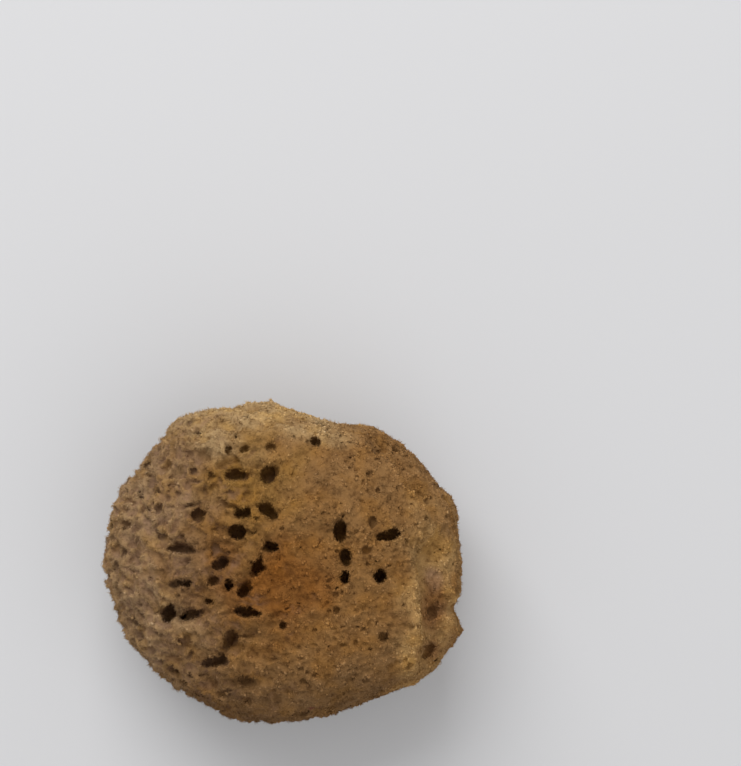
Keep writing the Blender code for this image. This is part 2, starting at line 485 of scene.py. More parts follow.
@dataclass(frozen=True)
class Pores:
    """Round holes strewn over the skin."""

    spacing: float
    radius: float
    spread: float
    depth: float
    soften: float = 0.25

    def carved(self, solid: Wire, inside: Wire, place: Wire) -> Wire:
        """Takes the pores out of the solid.

        Args:
            solid: How far inside the solid each place is.
            inside: How far under the plain form's skin it is.
            place: Where the pores are looked for.

        Returns:
            How far inside what is left each place is.
        """
        distance, own = seeds(place, self.spacing)
        wall = distance - ((own - 0.5) * (2 * self.spread) + self.radius)
        return solid.below(wall.above(inside - self.depth), self.soften)


@dataclass(frozen=True)
class Mouth:
    """One open pore in the upper face: its middle and half sizes seen from above, its turn and its depth."""

    middle: Pair
    reach: Pair
    degrees: float = 0.0
    depth: float = 2.8
    soften: float = 0.3

    def carved(self, solid: Wire, inside: Wire, place: Wire) -> Wire:
        """Takes the pore out of the solid.

        Args:
            solid: How far inside the solid each place is.
            inside: How far under the plain form's skin it is.
            place: Where the pore is looked for.

        Returns:
            How far inside what is left each place is.
        """
        along, up = self.reach
        cos, sin = math.cos(math.radians(self.degrees)), math.sin(math.radians(self.degrees))
        away = place.vector("SUBTRACT", (*self.middle, 0.0))
        first = away.number("DOT_PRODUCT", (cos / along, sin / along, 0.0))
        second = away.number("DOT_PRODUCT", (-sin / up, cos / up, 0.0))
        wall = ((first * first + second * second).maths("SQRT") - 1.0) * min(along, up)
        return solid.below(wall.above(inside - self.depth), self.soften)


@dataclass
class SpongeBody:
    """The body of the sponge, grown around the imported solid."""

    voxel: float = 0.45
    margin: float = 3.0
    band: float = 0.6
    crumb: int = 3000
    most_triangles: int = 194_000
    lesser_span: Pair = (14.0, 4.0)
    bias: float = 5e-6

    weld: float = 0.001
    form_voxel: float = 0.7
    form_smoothing: int = 1
    form_rounds: int = 40
    cavity_depths: Pair = (0.15, 0.5)
    mouth_rounds: int = 4
    probe: Triple = (0.31, 0.22, 0.92)
    probe_length: float = 1.0

    broad_drift: Drift = Drift(3.2, 1.1)
    fine_drift: Drift = Drift(1.3, 0.45)
    form_drift: Drift = Drift(2.4, 0.4)
    mouth_drift: Drift = Drift(2.0, 0.3)
    west_border: Noise = Noise(14.0, reach=9.0)
    west_span: Pair = (-6.0, 14.0)
    upright: float = 0.35
    lie: Triple = (0.8, 1.25, 1.0)
    lump_noise: Noise = Noise(4.6, 3.0, 0.62)
    lumps: float = 1.0
    west_lumps: float = 1.8
    peaks: Peaks = Peaks(2.3, 1.2, 0.4, 0.4, 0.2)
    coarse_hollows: Hollows = Hollows(4.8, 0.1, 2.1, 1.2, 4.6)
    middle_hollows: Hollows = Hollows(2.6, 0.05, 1.0, 0.3, 1.2)
    middle_least: float = 0.5
    felt_hollows: Hollows = Hollows(1.8, 0.05, 0.6, 0.3, 1.5)
    calm: float = 0.8
    widening: float = 0.55
    erosion: float = 0.1
    cut_level: float = 0.1
    cut_noise: Noise = Noise(2.0, reach=0.12)
    cut_soften: float = 0.2

    fine_rounds: int = 6
    broad_rounds: int = 40
    tip_level: float = 0.5
    fine_share: float = 0.9
    broad_share: float = 0.35
    pore_depths: Pair = (0.8, 1.5)
    rim_rounds: int = 5

    pinholes: Pores = Pores(3.2, 0.12, 0.36, 1.6)
    mouths: tuple[Mouth, ...] = (
        Mouth((15.3, 9.7), (1.65, 3.1)),
        Mouth((16.9, 2.9), (1.45, 2.2)),
        Mouth((16.5, -2.3), (1.2, 1.5)),
        Mouth((25.7, -2.0), (1.75, 1.75)),
        Mouth((27.6, 8.6), (3.4, 1.5), 10.0),
        Mouth((23.7, 12.0), (0.9, 1.6), -10.0, 1.8),
        Mouth((26.6, -17.6), (1.35, 1.3)),
        Mouth((14.3, -10.5), (0.9, 1.1), 0.0, 2.0),
        Mouth((-3.5, 14.8), (2.9, 1.4), -35.0),
        Mouth((-11.5, 9.4), (2.3, 1.9), -20.0),
        Mouth((-2.4, 6.0), (2.0, 1.15), -12.0),
        Mouth((-3.6, 24.3), (1.9, 2.5), -15.0),
        Mouth((-12.0, 24.2), (2.7, 1.5)),
        Mouth((-10.4, 14.3), (1.9, 1.4), -10.0, 2.0),
        Mouth((-26.2, 4.7), (4.2, 0.9), -4.0, 2.0),
        Mouth((-21.7, 13.5), (2.0, 1.6), -25.0, 2.0),
        Mouth((-6.0, 0.3), (1.4, 2.2), -15.0),
        Mouth((-9.2, -11.1), (3.3, 1.4), -10.0),
        Mouth((-16.1, 1.1), (2.0, 1.5), 15.0, 2.2),
        Mouth((-13.4, -3.9), (1.3, 1.7), 0.0, 2.2),
        Mouth((-10.0, -5.9), (1.5, 1.6)),
        Mouth((-25.4, -3.6), (2.3, 1.0), -8.0, 2.2),
        Mouth((-29.7, -12.6), (1.7, 2.3), -20.0),
        Mouth((-24.1, -12.6), (2.7, 1.2), 18.0),
        Mouth((-13.9, -18.6), (1.4, 2.8), -12.0, 2.2),
        Mouth((-18.3, -24.6), (3.2, 1.4), 20.0, 2.2),
    )

    def form(self) -> bpy.types.Object:
        """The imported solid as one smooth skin, with its pores marked on it.

        Returns:
            A new object that the body takes the place of.
        """
        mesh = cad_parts[NODE].data.copy()
        shape = bmesh.new()
        shape.from_mesh(mesh)
        bmesh.ops.remove_doubles(shape, verts=shape.verts[:], dist=self.weld * MM)
        shape.to_mesh(mesh)
        shape.free()
        plain = linked("form", mesh)
        remesh = plain.modifiers.new("remesh", "REMESH")
        remesh.mode = "VOXEL"
        remesh.voxel_size = self.form_voxel * MM
        smooth = plain.modifiers.new("smooth", "SMOOTH")
        smooth.iterations = self.form_smoothing
        mesh = evaluated(plain)
        bpy.data.objects.remove(plain)
        cavity = step(-standing(mesh, self.form_rounds), *self.cavity_depths)
        write(mesh, "cavity", spread(mesh, cavity, self.mouth_rounds))
        return linked("form", mesh)

    def depth(self, form: Wire, place: Wire) -> tuple[Wire, Wire]:
        """How far under the form's skin each place is.

        Args:
            form: The smooth form's geometry.
            place: Where it is looked for, in metres.

        Returns:
            The depth, below nothing outside, and the nearest place on the skin, in millimetres.
        """
        tree = form.tree
        inputs = {"Target": form, "Source Position": place}
        near = add_node(tree, "GeometryNodeProximity", inputs, target_element="FACES")
        ray = add_node(tree, "GeometryNodeRaycast", {
            "Target Geometry": form, "Source Position": place,
            "Ray Direction": self.probe, "Ray Length": self.probe_length,
        })
        facing = Wire(tree, ray.outputs["Hit Normal"]).number("DOT_PRODUCT", self.probe)
        sign = facing.maths("SIGN").above(0.0) * 2.0 - 1.0
        inside = Wire(tree, near.outputs["Distance"]) / MM * sign
        return inside, Wire(tree, near.outputs["Position"]).scaled(1 / MM)

    def cavity(self, form: Wire, place: Wire) -> Wire:
        """How much of a pore the form has at each place.

        Args:
            form: The smooth form's geometry.
            place: Where it is looked for, in metres.

        Returns:
            A number from 0 to 1.
        """
        tree = form.tree
        marked = add_node(tree, "GeometryNodeInputNamedAttribute", {"Name": "cavity"}, data_type="FLOAT")
        value = Wire(tree, marked.outputs["Attribute"])
        inputs = {"Mesh": form, "Value": value, "Sample Position": place}
        sampled = add_node(tree, "GeometryNodeSampleNearestSurface", inputs, data_type="FLOAT")
        return Wire(tree, sampled.outputs["Value"])

    def density(self, form: Wire) -> Wire:
        """How dense the sponge is at each place, from 0 in the open to 1 well inside.

        Args:
            form: The smooth form's geometry.

        Returns:
            The density, one half at the skin.
        """
        tree = form.tree
        place = Wire(tree, add_node(tree, "GeometryNodeInputPosition").outputs[0]).scaled(1 / MM)
        ragged = self.fine_drift.of(self.broad_drift.of(place))
        looked = self.form_drift.of(place).scaled(MM)
        inside, skin = self.depth(form, looked)
        cavity = self.cavity(form, looked)
        west = (self.west_border.at(place) - place.axis(0)).eased(*self.west_span)
        east = west * -1.0 + 1.0
        blend = add_node(tree, "ShaderNodeMix", {0: self.upright, 4: ragged, 5: skin}, data_type="VECTOR")
        drawn = Wire(tree, blend.outputs[1])

        lumps = self.lump_noise.at(place) * (west * self.west_lumps + self.lumps)
        sunk = self.coarse_hollows.depth(drawn.vector("MULTIPLY", self.lie)) * west
        middle = west * (1.0 - self.middle_least) + self.middle_least
        sunk = sunk + self.middle_hollows.depth(ragged) * middle
        sunk = sunk + self.felt_hollows.depth(place) * east
        relief = lumps + self.peaks.height(skin, west) - sunk
        open_skin = cavity * -self.calm + 1.0
        solid = inside + relief * open_skin - cavity * self.widening - self.erosion
        solid = self.pinholes.carved(solid, inside, drawn)
        worn = self.mouth_drift.of(place)
        for mouth in self.mouths:
            solid = mouth.carved(solid, inside, worn)
        cut = place.axis(2) - self.cut_level + self.cut_noise.at(place)
        solid = solid.below(cut, self.cut_soften)
        node = add_node(tree, "ShaderNodeClamp", {"Value": solid / (2 * self.band) + 0.5})
        return Wire(tree, node.outputs[0])

    def tree(self, voxel: float) -> bpy.types.NodeTree:
        """The node tree that turns the form into the body.

        Args:
            voxel: The grid's step in millimetres.

        Returns:
            A Geometry Nodes tree.
        """
        tree = bpy.data.node_groups.new("grow_sponge", "GeometryNodeTree")
        tree.interface.new_socket("Geometry", in_out="INPUT", socket_type="NodeSocketGeometry")
        tree.interface.new_socket("Geometry", in_out="OUTPUT", socket_type="NodeSocketGeometry")
        form = Wire(tree, add_node(tree, "NodeGroupInput").outputs[0])
        low = [c / MM - self.margin for c in CAD_BOX[0]]
        high = [c / MM + self.margin for c in CAD_BOX[1]]
        steps = [math.ceil((b - a) / voxel) for a, b in zip(low, high)]
        cube = add_node(tree, "GeometryNodeVolumeCube", {
            "Density": self.density(form),
            "Min": tuple(c * MM for c in low),
            "Max": tuple((a + n * voxel) * MM for a, n in zip(low, steps)),
            **{f"Resolution {axis}": count + 1 for axis, count in zip("XYZ", steps)},
        })
        inputs = {"Volume": Wire(tree, cube.outputs[0]), "Threshold": 0.5}
        skin = add_node(tree, "GeometryNodeVolumeToMesh", inputs, resolution_mode="GRID")
        island = add_node(tree, "GeometryNodeInputMeshIsland")
        inputs = {"Value": 1.0, "Group Index": Wire(tree, island.outputs["Island Index"])}
        count = add_node(tree, "GeometryNodeAccumulateField", inputs)
        inputs = {0: Wire(tree, count.outputs["Total"]), 1: float(self.crumb)}
        small = add_node(tree, "FunctionNodeCompare", inputs, operation="LESS_THAN")
        inputs = {"Geometry": Wire(tree, skin.outputs[0]), "Selection": Wire(tree, small.outputs[0])}
        kept = add_node(tree, "GeometryNodeDeleteGeometry", inputs)
        add_node(tree, "NodeGroupOutput", {0: Wire(tree, kept.outputs[0])})
        return tree

    def build(self) -> bpy.types.Object:
        """Grows the body and thins its mesh.

        Returns:
            The body.
        """
        form = self.form()
        grow = form.modifiers.new("grow", "NODES")
        grow.node_group = self.tree(self.voxel)
        mesh = evaluated(form)
        bpy.data.objects.remove(form)
        body = linked("sponge_body", mesh)
        mesh.materials.clear()
        self.mark(mesh)
        log.info("%s: %d triangles as grown", body.name, triangles_of(mesh))
        if triangles_of(mesh) > self.most_triangles:
            self.thin(body)
        body.data.shade_smooth()
        log.info("%s: %d triangles", body.name, triangles_of(body.data))
        return body

    def mark(self, mesh: bpy.types.Mesh) -> None:
        """Writes on the body how far each point stands out and how deep in a pore it lies.

        Args:
            mesh: The body's mesh as it is grown. Thinning it keeps what is written.
        """
        fine, broad = standing(mesh, self.fine_rounds), standing(mesh, self.broad_rounds)
        write(mesh, "tip", self.tip_level + fine * self.fine_share + broad * self.broad_share)
        write(mesh, "sunk", -broad)
        write(mesh, "rim", spread(mesh, step(-broad, *self.pore_depths), self.rim_rounds))

    def thin(self, body: bpy.types.Object) -> None:
        """Thins the body to its most triangles, more so low down, where it is seen less.

        A point of no weight would never be merged, so every point has some.

        Args:
            body: The body.
        """
        lesser = body.vertex_groups.new(name="lesser")
        share = step(read(body.data.vertices, "co", 3)[:, 2] / MM, *self.lesser_span)
        levels = np.maximum(np.ceil(share * WEIGHT_LEVELS), 1)
        for level in range(1, WEIGHT_LEVELS + 1):
            members = np.nonzero(levels == level)[0]
            lesser.add(members.tolist(), level / WEIGHT_LEVELS, "REPLACE")
        thin = body.modifiers.new("thin", "DECIMATE")
        thin.ratio = self.most_triangles / triangles_of(body.data)
        thin.vertex_group = lesser.name
        thin.vertex_group_factor = self.bias
        body.data = evaluated(body)
        body.modifiers.clear()
        body.vertex_groups.clear()


# What grows on the body


@dataclass(frozen=True)
class Roots:
    """Places on the body that things grow from, as arrays with a row each."""

    place: np.ndarray
    normal: np.ndarray
    tip: np.ndarray
    sunk: np.ndarray


@dataclass
class Coat:
    """Thousands of small things of one kind on the body, joined in one mesh."""

    name: str
    count: int
    seed: int
    sunk: float
    least: float = 0.04
    rim: float = 0.25
    west: float = 1.0
    east: float = 1.0
    tip_span: Pair = (0.4, 0.8)
    eastward_span: Pair = (-14.0, 6.0)
    bare_foot: float = 0.4
    lowest: float = 0.02

    def template(self) -> tuple[np.ndarray, np.ndarray]:
        """The points and the triangles of one thing, which stands on the origin."""
        raise NotImplementedError

    def placed(self, roots: Roots, points: np.ndarray, chance: np.random.Generator) -> np.ndarray:
        """The points of every thing, from the places, the points of one and the source of chance."""
        raise NotImplementedError

    def weights(self, mesh: bpy.types.Mesh, corners: np.ndarray) -> np.ndarray:
        """How likely a thing is to grow on each triangle of the body.

        Args:
            mesh: The body's mesh.
            corners: The triangles' corners.

        Returns:
            A number for every triangle, in no unit.
        """
        points = read(mesh.vertices, "co", 3)
        a, b, c = (points[corners[:, i]] for i in range(3))
        weight = np.linalg.norm(np.cross(b - a, c - a), axis=1)
        low, high = self.tip_span
        weight *= np.clip((recall(mesh, "tip")[corners].mean(1) - low) / (high - low), self.least, 1)
        weight *= (recall(mesh, "rim")[corners].mean(1) < self.rim) * (a[:, 2] > self.bare_foot * MM)
        eastward = step(a[:, 0] / MM, *self.eastward_span)
        return weight * (self.west * (1 - eastward) + self.east * eastward)

    def roots(self, mesh: bpy.types.Mesh, chance: np.random.Generator) -> Roots:
        """Chooses where the things grow, more of them where the body stands out.

        Args:
            mesh: The body's mesh.
            chance: The source of chance.

        Returns:
            The chosen places.
        """
        mesh.calc_loop_triangles()
        corners = read(mesh.loop_triangles, "vertices", 3, np.int32)
        weight = self.weights(mesh, corners)
        chosen = corners[chance.choice(len(corners), self.count, p=weight / weight.sum())]
        share = np.sort(chance.random((self.count, 2)), axis=1)
        share = np.column_stack((share[:, 0], share[:, 1] - share[:, 0], 1 - share[:, 1]))
        normal = unit(np.einsum("ij,ijk->ik", share, read(mesh.vertices, "normal", 3)[chosen]))
        place = np.einsum("ij,ijk->ik", share, read(mesh.vertices, "co", 3)[chosen])
        tip = np.einsum("ij,ij->i", share, recall(mesh, "tip")[chosen])
        sunk = np.einsum("ij,ij->i", share, recall(mesh, "sunk")[chosen])
        return Roots(place - normal * self.sunk * MM, normal, tip, sunk)

    def build(self, body: bpy.types.Object) -> bpy.types.Object:
        """Grows the coat on the body.

        Args:
            body: The body.

        Returns:
            The coat.
        """
        chance = np.random.default_rng(self.seed)
        roots = self.roots(body.data, chance)
        points, triangles = self.template()
        copies = self.placed(roots, points, chance)
        copies[..., 2] = np.maximum(copies[..., 2], self.lowest * MM)
        coat = joined(self.name, copies, triangles)
        each = len(points)
        write(coat.data, "tip", np.repeat(roots.tip, each))
        write(coat.data, "sunk", np.repeat(roots.sunk, each))
        write(coat.data, "shade", np.repeat(chance.random(self.count), each))
        write(coat.data, "along", np.tile(points[:, 2], self.count))
        log.info("%s: %d of them, %d triangles", self.name, self.count, len(coat.data.polygons))
        return coat


@dataclass
class Knots(Coat):
    """Small knots of matted fibre, which make the skin granular."""

    sides: int = 5
    shoulder: float = 0.4
    size: Pair = (0.45, 1.05)
    height: float = 0.6
    stretch: Pair = (0.7, 1.4)
    uneven: float = 0.45

    def template(self) -> tuple[np.ndarray, np.ndarray]:
        """One knot, from height 0 to 1: a cone on top of another that points down.

        Returns:
            Its points and its triangles.
        """
        shape = bmesh.new()
        bmesh.ops.create_cone(shape, segments=self.sides, radius1=0.5, radius2=0, depth=1 - self.shoulder)
        bmesh.ops.translate(shape, verts=shape.verts[:], vec=(0, 0, (1 + self.shoulder) / 2))
        low = bmesh.ops.create_vert(shape, co=(0, 0, 0))["vert"]
        rim = [edge for edge in shape.edges if edge.is_boundary]
        for edge in rim:
            bmesh.ops.contextual_create(shape, geom=[*edge.verts, *low])
        bmesh.ops.recalc_face_normals(shape, faces=shape.faces[:])
        return taken(shape)

    def placed(self, roots: Roots, points: np.ndarray, chance: np.random.Generator) -> np.ndarray:
        """Sets a knot on every root, each one stretched and dented in its own way.

        Args:
            roots: Where they grow.
            points: The points of one.
            chance: The source of chance.

        Returns:
            The points of every one.
        """
        flat = unit(np.cross(roots.normal, chance.normal(size=(self.count, 3))))
        across = np.cross(roots.normal, flat)
        size = chance.uniform(*self.size, (self.count, 1, 1)) * MM
        stretch = chance.uniform(*self.stretch, (self.count, 1))
        dents = 1 + chance.uniform(-self.uneven, self.uneven, (self.count, len(points), 1))
        own = points[None] * dents
        line = flat[:, None] * (own[..., 0] * stretch)[..., None]
        line = line + across[:, None] * (own[..., 1] / stretch)[..., None]
        line = line + roots.normal[:, None] * self.height * own[..., 2:]
        return roots.place[:, None] + line * size


class Habit(Enum):
    """How a fibre grows."""

    TUFT = "stands up and tapers to a point"
    STRAND = "lies over the skin with both ends in it"


@dataclass
class Fibres(Coat):
    """Fibres of one habit."""

    habit: Habit = Habit.TUFT
    sides: int = 3
    tuft_steps: int = 2
    strand_steps: int = 3
    length: Pair = (0.5, 1.0)
    thickness: float = 0.2
    uneven: Pair = (0.7, 1.3)
    lift: float = 0.6
    bend: float = 0.3
    taper: float = 0.5
    rise: float = 0.3
    end: float = 0.7
    belly: float = 1.2
    tilt: float = 0.3

    def template(self) -> tuple[np.ndarray, np.ndarray]:
        """One fibre, whose points' height is how far along it they are.

        Returns:
            Its points and its triangles.
        """
        steps = self.tuft_steps if self.habit is Habit.TUFT else self.strand_steps
        shape = bmesh.new()
        bmesh.ops.create_circle(shape, cap_ends=True, segments=self.sides, radius=1.0)
        rim = shape.edges[:]
        for _ in range(steps):
            drawn = bmesh.ops.extrude_edge_only(shape, edges=rim)["geom"]
            ring = [g for g in drawn if isinstance(g, bmesh.types.BMVert)]
            bmesh.ops.translate(shape, verts=ring, vec=(0, 0, 1 / steps))
            rim = [g for g in drawn if isinstance(g, bmesh.types.BMEdge) and g.is_boundary]
        if self.habit is Habit.TUFT:
            bmesh.ops.pointmerge(shape, verts=ring, merge_co=(0, 0, 1))
        else:
            bmesh.ops.contextual_create(shape, geom=rim)
        bmesh.ops.recalc_face_normals(shape, faces=shape.faces[:])
        return taken(shape)

    def placed(self, roots: Roots, points: np.ndarray, chance: np.random.Generator) -> np.ndarray:
        """Sets a fibre on every root.

        Args:
            roots: Where they grow.
            points: The points of one.
            chance: The source of chance.

        Returns:
            The points of every one.
        """
        flat = unit(np.cross(roots.normal, chance.normal(size=(self.count, 3))))
        across = np.cross(roots.normal, flat)
        length = chance.uniform(*self.length, (self.count, 1)) * MM
        along = points[:, 2][None, :, None]
        if self.habit is Habit.TUFT:
            heading = unit(roots.normal * self.lift + flat * (1 - self.lift))
            line = heading[:, None] * along * length[:, None]
            line = line + across[:, None] * along**2 * self.bend * length[:, None]
            wide = 1 - self.taper * along
        else:
            heading = flat
            line = heading[:, None] * (along - 0.5) * length[:, None]
            line = line + roots.normal[:, None] * 4 * along * (1 - along) * self.rise * length[:, None]
            wide = self.end + self.belly * along * (1 - along)
        side = unit(np.cross(heading, across + self.tilt * roots.normal))[:, None]
        up = np.cross(side, heading[:, None])
        thick = self.thickness / 2 * MM * chance.uniform(*self.uneven, (self.count, 1, 1)) * wide
        ring = side * points[:, 0][None, :, None] + up * points[:, 1][None, :, None]
        return roots.place[:, None] + line + thick * ring


# The finish


def mixed(tree: bpy.types.NodeTree, share: Value, first: Value, second: Value) -> Wire:
    """One colour going over to another by a share from 0 to 1."""
    node = add_node(tree, "ShaderNodeMix", {0: share, 6: first, 7: second}, data_type="RGBA")
    return Wire(tree, node.outputs[2])


def object_place(tree: bpy.types.NodeTree) -> Wire:
    """Where each point of the object is, in millimetres."""
    return Wire(tree, add_node(tree, "ShaderNodeTexCoord").outputs["Object"]).scaled(1 / MM)


def marked(tree: bpy.types.NodeTree, name: str) -> Wire:
    """A number that is written on the mesh under a name."""
    return Wire(tree, add_node(tree, "ShaderNodeAttribute", attribute_name=name).outputs["Fac"])


@dataclass(frozen=True)
class Patch:
    """A region of one tint: its middle and half sizes seen from above, its level and its half height."""

    colour: Triple
    middle: Pair
    reach: Pair
    strength: float
    stray: float = 9.0
    level: float = 0.0
    rise: float = 1e6


@dataclass(frozen=True)
class SponginColour:
    """The browns of dried, unbleached sponge, with painted shade and light, as a shader node group."""

    base: Triple = (0.262, 0.137, 0.049)
    patches: tuple[Patch, ...] = (
        Patch((0.336, 0.213, 0.106), (-46.0, 0.0), (30.0, 60.0), 0.9),
        # Partly the sponge's own colour and partly painted light: the band along the top edge is paler.
        Patch((0.480, 0.318, 0.148), (-10.0, 46.0), (40.0, 15.0), 0.9),
        Patch((0.300, 0.160, 0.038), (-8.0, 20.0), (13.0, 16.0), 0.8),
        Patch((0.235, 0.114, 0.034), (4.0, 0.0), (34.0, 24.0), 0.7),
        Patch((0.212, 0.110, 0.044), (-19.0, -3.0), (13.0, 12.0), 0.6),
        Patch((0.215, 0.083, 0.017), (0.0, -5.0), (17.0, 12.0), 0.9),
        # Partly the sponge's own colour and partly painted shade: the band along the bottom edge is darker.
        Patch((0.190, 0.104, 0.044), (0.0, -46.0), (60.0, 23.0), 0.8),
        Patch((0.430, 0.255, 0.095), (38.5, -10.0), (9.0, 27.0), 0.8),
        Patch((0.470, 0.275, 0.100), (34.3, -16.0), (2.6, 14.0), 0.6, 2.0),
        Patch((0.470, 0.275, 0.105), (44.0, -12.0), (1.8, 9.0), 0.6, 1.5),
        # Painted shade: the trough on the east flank is painted a darker brown, for shade its shallow walls
        # do not cast.
        Patch((0.235, 0.110, 0.042), (39.7, -10.0), (3.6, 8.5), 0.85, 1.5),
        Patch((0.320, 0.190, 0.115), (39.5, -4.0), (3.0, 3.5), 0.6, 1.5),
        # Painted shade: the lower end of the same trough is painted darker brown too.
        Patch((0.245, 0.118, 0.046), (39.0, -22.5), (3.2, 4.0), 0.8, 1.5),
        Patch((0.200, 0.040, 0.040), (8.5, -37.2), (1.7, 1.2), 0.8, 0.4, 46.3, 0.8),
    )
    patch_edge: Pair = (1.3, 0.4)
    patch_drift: float = 9.0

    mauve: Triple = (0.240, 0.136, 0.090)
    clouds: Noise = Noise(6.0, reach=1.2)
    cloud_fade: float = 40.0
    clouded: Ramp = Ramp(0.1, 0.9, 0.5)
    lowered: Ramp = Ramp(0.75, 0.35)

    warm: Triple = (1.04, 0.97, 0.76)
    dull: Triple = (0.91, 0.93, 0.98)
    hues: Noise = Noise(6.5, 2.0)
    hue_shift: Triple = (61.0, 17.0, 5.0)
    warmed: Ramp = Ramp(-0.1, 0.45, 0.9)
    dulled: Ramp = Ramp(0.0, -0.45, 0.9)

    shaded: Triple = (0.52, 0.47, 0.43)
    lit: Triple = (1.34, 1.36, 1.38)
    broad_blotches: Noise = Noise(4.5, reach=0.55)
    fine_blotches: Noise = Noise(1.0, 2.0, reach=0.55)
    dark_blotch: Ramp = Ramp(0.02, -0.35, 0.7)
    light_blotch: Ramp = Ramp(0.05, 0.4, 0.6)
    # Painted shade in the hollows and painted light on the crests, by how far each place stands out.
    painted_hollow_shade: Ramp = Ramp(0.45, 0.0, 0.33)
    painted_crest_light: Ramp = Ramp(0.6, 1.3, 0.5)

    # Painted light: the deep pores are painted a pale grey, far paler than the sponge, so they render
    # lighter than their own shade leaves them.
    painted_pore_light_colour: Triple = (0.600, 0.560, 0.540)
    painted_pore_light_share: Ramp = Ramp(1.7, 3.0, 0.9)

    def group(self) -> bpy.types.NodeTree:
        """Builds the node group.

        Returns:
            A group that gives a place's colour, with painted shade and light, by how far it stands out and
            how deep in a pore it lies.
        """
        tree = bpy.data.node_groups.new("spongin_colour", "ShaderNodeTree")
        for name in ("Tip", "Sunk"):
            tree.interface.new_socket(name, in_out="INPUT", socket_type="NodeSocketFloat")
        tree.interface.new_socket("Color", in_out="OUTPUT", socket_type="NodeSocketColor")
        given = add_node(tree, "NodeGroupInput")
        tip, sunk = Wire(tree, given.outputs["Tip"]), Wire(tree, given.outputs["Sunk"])
        place = object_place(tree)
        colour = self.mottled(place, self.regions(place), tip)
        # Painted light in the deep pores.
        colour = mixed(tree, self.painted_pore_light_share.of(sunk), colour, (*self.painted_pore_light_colour, 1.0))
        add_node(tree, "NodeGroupOutput", {"Color": colour})
        return tree

    def regions(self, place: Wire) -> Value:
        """The base colour and the patches over it.

        Args:
            place: Where each point is, in millimetres.

        Returns:
            The colour.
        """
        colour: Value = (*self.base, 1.0)
        for patch in self.patches:
            drifted = Drift(self.patch_drift, patch.stray).of(place)
            away = drifted.vector("SUBTRACT", (*patch.middle, patch.level))
            distance = away.vector("DIVIDE", (*patch.reach, patch.rise)).number("LENGTH")
            share = distance.eased(*self.patch_edge, patch.strength)
            colour = mixed(place.tree, share, colour, (*patch.colour, 1.0))
        return colour

    def mottled(self, place: Wire, colour: Value, tip: Wire) -> Wire:
        """Breaks a colour up by noise, and paints shade into the hollows and light onto the crests by how
        far each place stands out.

        Args:
            place: Where each point is, in millimetres.
            colour: The colour.
            tip: How far it stands out, about one half on a level stretch.

        Returns:
            The mottled colour, with painted shade and light.
        """
        tree = place.tree
        cloud = self.clouds.at(place) - place.axis(0) / self.cloud_fade
        mauve = self.clouded.of(cloud) * self.lowered.of(tip)
        colour = mixed(tree, mauve, colour, (*self.mauve, 1.0))
        hue = self.hues.at(place.vector("ADD", self.hue_shift))
        colour = mixed(tree, self.warmed.of(hue), colour, colour.vector("MULTIPLY", self.warm))
        colour = mixed(tree, self.dulled.of(hue), colour, colour.vector("MULTIPLY", self.dull))
        shaded = colour.vector("MULTIPLY", self.shaded)
        lit = colour.vector("MULTIPLY", self.lit)
        blotch = self.broad_blotches.at(place) + self.fine_blotches.at(place)
        colour = mixed(tree, self.dark_blotch.of(blotch), colour, shaded)
        colour = mixed(tree, self.light_blotch.of(blotch), colour, lit)
        # Painted shade where a place lies low and painted light where it stands out.
        colour = mixed(tree, self.painted_hollow_shade.of(tip), colour, shaded)
        return mixed(tree, self.painted_crest_light.of(tip), colour, lit)


@dataclass(frozen=True)
class SponginFinish:
    """The dull, matted finish of dried sponge."""

    name: str
    roughness: float = 0.95
    specular: float = 0.08

    def build(self, colours: bpy.types.NodeTree) -> bpy.types.Material:
        """Makes the material.

        Args:
            colours: The group that gives the colour.

        Returns:
            The material.
        """
        material = bpy.data.materials.new(self.name)
        material.use_nodes = True
        tree = material.node_tree
        shader = tree.nodes["Principled BSDF"]
        shader.inputs["Roughness"].default_value = self.roughness
        shader.inputs["Specular IOR Level"].default_value = self.specular
        inputs = {"Tip": marked(tree, "tip"), "Sunk": marked(tree, "sunk")}
        group = add_node(tree, "ShaderNodeGroup", inputs, node_tree=colours)
        colour = self.dressed(shader, Wire(tree, group.outputs["Color"]))
        plug(tree, shader.inputs["Base Color"], colour)
        return material

    def dressed(self, shader: bpy.types.Node, colour: Wire) -> Wire:
        """Adds what one finish alone has to the shader, and gives its own colour."""
        raise NotImplementedError


@dataclass(frozen=True)
class MattedFinish(SponginFinish):
    """The body's finish: grainy, and darkened by painted shade because what shows of it lies between the
    fibres.
    """

    grain: Noise = Noise(0.55, 2.0, 0.6)
    grain_strength: float = 0.5
    grain_height: float = 0.5
    shadow: Triple = (0.03, 0.014, 0.005)
    painted_shade_share: float = 0.2

    def dressed(self, shader: bpy.types.Node, colour: Wire) -> Wire:
        """Adds the grain and the painted shade.

        Args:
            shader: The material's shader.
            colour: The sponge's colour.

        Returns:
            The colour darkened by painted shade.
        """
        tree = colour.tree
        inputs = {
            "Height": self.grain.at(object_place(tree)),
            "Strength": self.grain_strength,
            "Distance": self.grain_height * MM,
        }
        bump = add_node(tree, "ShaderNodeBump", inputs)
        plug(tree, shader.inputs["Normal"], Wire(tree, bump.outputs[0]))
        # Painted shade: the whole body is darkened a fifth of the way towards a dark brown, for the shade of
        # the fibres over it.
        return mixed(tree, self.painted_shade_share, colour, (*self.shadow, 1.0))


